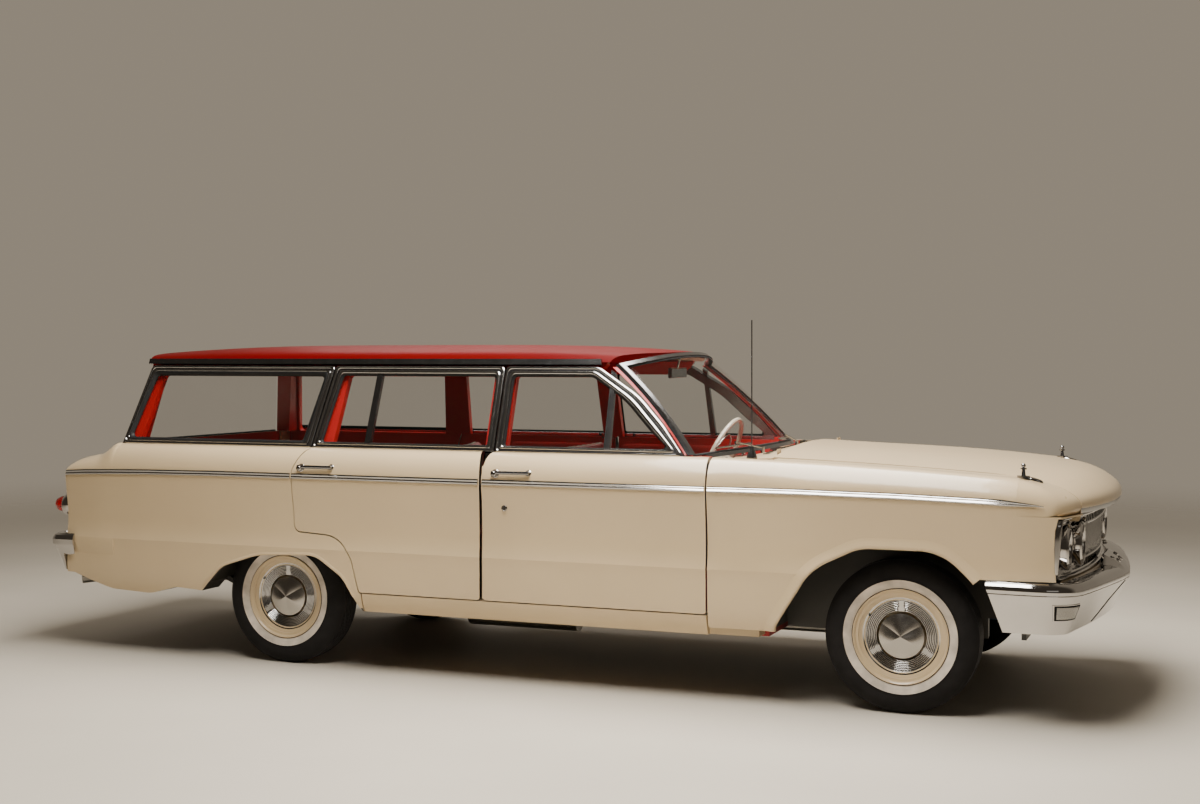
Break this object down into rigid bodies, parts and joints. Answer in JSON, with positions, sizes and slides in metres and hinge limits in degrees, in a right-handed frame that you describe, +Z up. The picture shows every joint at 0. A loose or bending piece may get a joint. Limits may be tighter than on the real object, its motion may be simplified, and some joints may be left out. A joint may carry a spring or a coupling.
{
  "type": "station wagon",
  "caption": "Four-door compact station wagon of the early 1960s, with hinged doors, hood and drop tailgate, steered front wheels and rolling wheels.",
  "frame": {"origin": "on the ground below the middle of the length, on the centre line", "axes": "+X forward, +Y to the car's left, +Z up"},
  "size_m": [4.8718, 1.8224, 1.5429],
  "materials": {
    "body_paint": "gloss enamel",
    "roof_paint": "gloss enamel",
    "interior_paint": "semi gloss enamel",
    "bright_trim": "polished stainless",
    "bright_chrome": "plated",
    "grille_metal": "bright anodised",
    "window_glass": "clear",
    "lamp_glass": "fluted",
    "tail_lens": "moulded",
    "tyre_rubber": "satin, with a white side band",
    "wheel_paint": "gloss enamel",
    "chassis_iron": "painted black",
    "chassis_paint": "satin black",
    "engine_iron": "painted",
    "spring_steel": "oiled",
    "pipe_steel": "dull",
    "wheel_plastic": "moulded",
    "seat_vinyl": "grained vinyl"
  },
  "bodies": {
    "body_shell": {"fender_left": "body_paint", "quarter_left": "body_paint", "fender_right": "body_paint", "quarter_right": "body_paint", "roof": "roof_paint", "pillars": "interior_paint", "fixed_glass": "window_glass", "window_trim": "bright_trim", "cowl": "body_paint", "floor_pan": "interior_paint", "front_structure": "body_paint", "front_suspension": "chassis_iron", "engine": "engine_iron", "rear_axle": "chassis_iron", "leaf_springs": "spring_steel", "fuel_tank": "chassis_paint", "exhaust": "pipe_steel", "front_bumper": "bright_chrome", "rear_bumper": "bright_chrome", "grille": "grille_metal", "front_lamps": "lamp_glass", "tail_lamps": "tail_lens", "dashboard": "interior_paint", "steering_column": "interior_paint", "front_seat": "seat_vinyl", "rear_seat": "seat_vinyl"},
    "hood_panel": {"hood": "body_paint"},
    "gate": {"tailgate": "body_paint", "tailgate_glass": "window_glass"},
    "steering_rim": {"steering_wheel": "wheel_plastic"},
    "front_door_left": {"door_front_left": "body_paint", "frame_front_left": "bright_trim", "glass_front_left": "window_glass"},
    "rear_door_left": {"door_rear_left": "body_paint", "frame_rear_left": "bright_trim", "glass_rear_left": "window_glass"},
    "steered_left": {"knuckle_left": "chassis_iron"},
    "front_wheel_left": {"tyre_front_left": "tyre_rubber", "wheel_front_left": "wheel_paint"},
    "rear_wheel_left": {"tyre_rear_left": "tyre_rubber", "wheel_rear_left": "wheel_paint"},
    "front_door_right": {"door_front_right": "body_paint", "frame_front_right": "bright_trim", "glass_front_right": "window_glass"},
    "rear_door_right": {"door_rear_right": "body_paint", "frame_rear_right": "bright_trim", "glass_rear_right": "window_glass"},
    "steered_right": {"knuckle_right": "chassis_iron"},
    "front_wheel_right": {"tyre_front_right": "tyre_rubber", "wheel_front_right": "wheel_paint"},
    "rear_wheel_right": {"tyre_rear_right": "tyre_rubber", "wheel_rear_right": "wheel_paint"}
  },
  "joints": [
    {"name": "hood_hinge", "type": "hinge", "parent": "body_shell", "child": "hood_panel", "pos_m": [1.084, 0, 1.018], "axis": [0, -1, 0], "range_deg": [0, 50]},
    {"name": "tailgate_hinge", "type": "hinge", "parent": "body_shell", "child": "gate", "pos_m": [-2.33, 0, 0.59], "axis": [0, -1, 0], "range_deg": [0, 90]},
    {"name": "front_door_left_hinge", "type": "hinge", "parent": "body_shell", "child": "front_door_left", "pos_m": [0.866, 0.892, 0.66], "axis": [0, 0, -1], "range_deg": [0, 65]},
    {"name": "rear_door_left_hinge", "type": "hinge", "parent": "body_shell", "child": "rear_door_left", "pos_m": [-0.13, 0.892, 0.66], "axis": [0, 0, -1], "range_deg": [0, 65]},
    {"name": "steer_left", "type": "hinge", "parent": "body_shell", "child": "steered_left", "pos_m": [1.6185, 0.585, 0.302], "axis": [0, 0, 1], "range_deg": [-32, 32]},
    {"name": "front_wheel_left_spin", "type": "hinge", "parent": "steered_left", "child": "front_wheel_left", "pos_m": [1.6185, 0.6985, 0.302], "axis": [0, 1, 0], "continuous": true},
    {"name": "rear_wheel_left_spin", "type": "hinge", "parent": "body_shell", "child": "rear_wheel_left", "pos_m": [-1.1625, 0.692, 0.302], "axis": [0, 1, 0], "continuous": true},
    {"name": "front_door_right_hinge", "type": "hinge", "parent": "body_shell", "child": "front_door_right", "pos_m": [0.866, -0.892, 0.66], "axis": [0, 0, 1], "range_deg": [0, 65]},
    {"name": "rear_door_right_hinge", "type": "hinge", "parent": "body_shell", "child": "rear_door_right", "pos_m": [-0.13, -0.892, 0.66], "axis": [0, 0, 1], "range_deg": [0, 65]},
    {"name": "steer_right", "type": "hinge", "parent": "body_shell", "child": "steered_right", "pos_m": [1.6185, -0.585, 0.302], "axis": [0, 0, 1], "range_deg": [-32, 32]},
    {"name": "front_wheel_right_spin", "type": "hinge", "parent": "steered_right", "child": "front_wheel_right", "pos_m": [1.6185, -0.6985, 0.302], "axis": [0, 1, 0], "continuous": true},
    {"name": "rear_wheel_right_spin", "type": "hinge", "parent": "body_shell", "child": "rear_wheel_right", "pos_m": [-1.1625, -0.692, 0.302], "axis": [0, 1, 0], "continuous": true},
    {"name": "steering_wheel_turn", "type": "hinge", "parent": "body_shell", "child": "steering_rim", "pos_m": [0.548, 0.38, 0.91], "axis": [-0.9087, 0, 0.4175], "range_deg": [-768, 768]}
  ],
  "couplings": [
    {"joint": "steer_right", "follows": "steer_left", "ratio": 1},
    {"joint": "steering_wheel_turn", "follows": "steer_left", "ratio": 24}
  ]
}
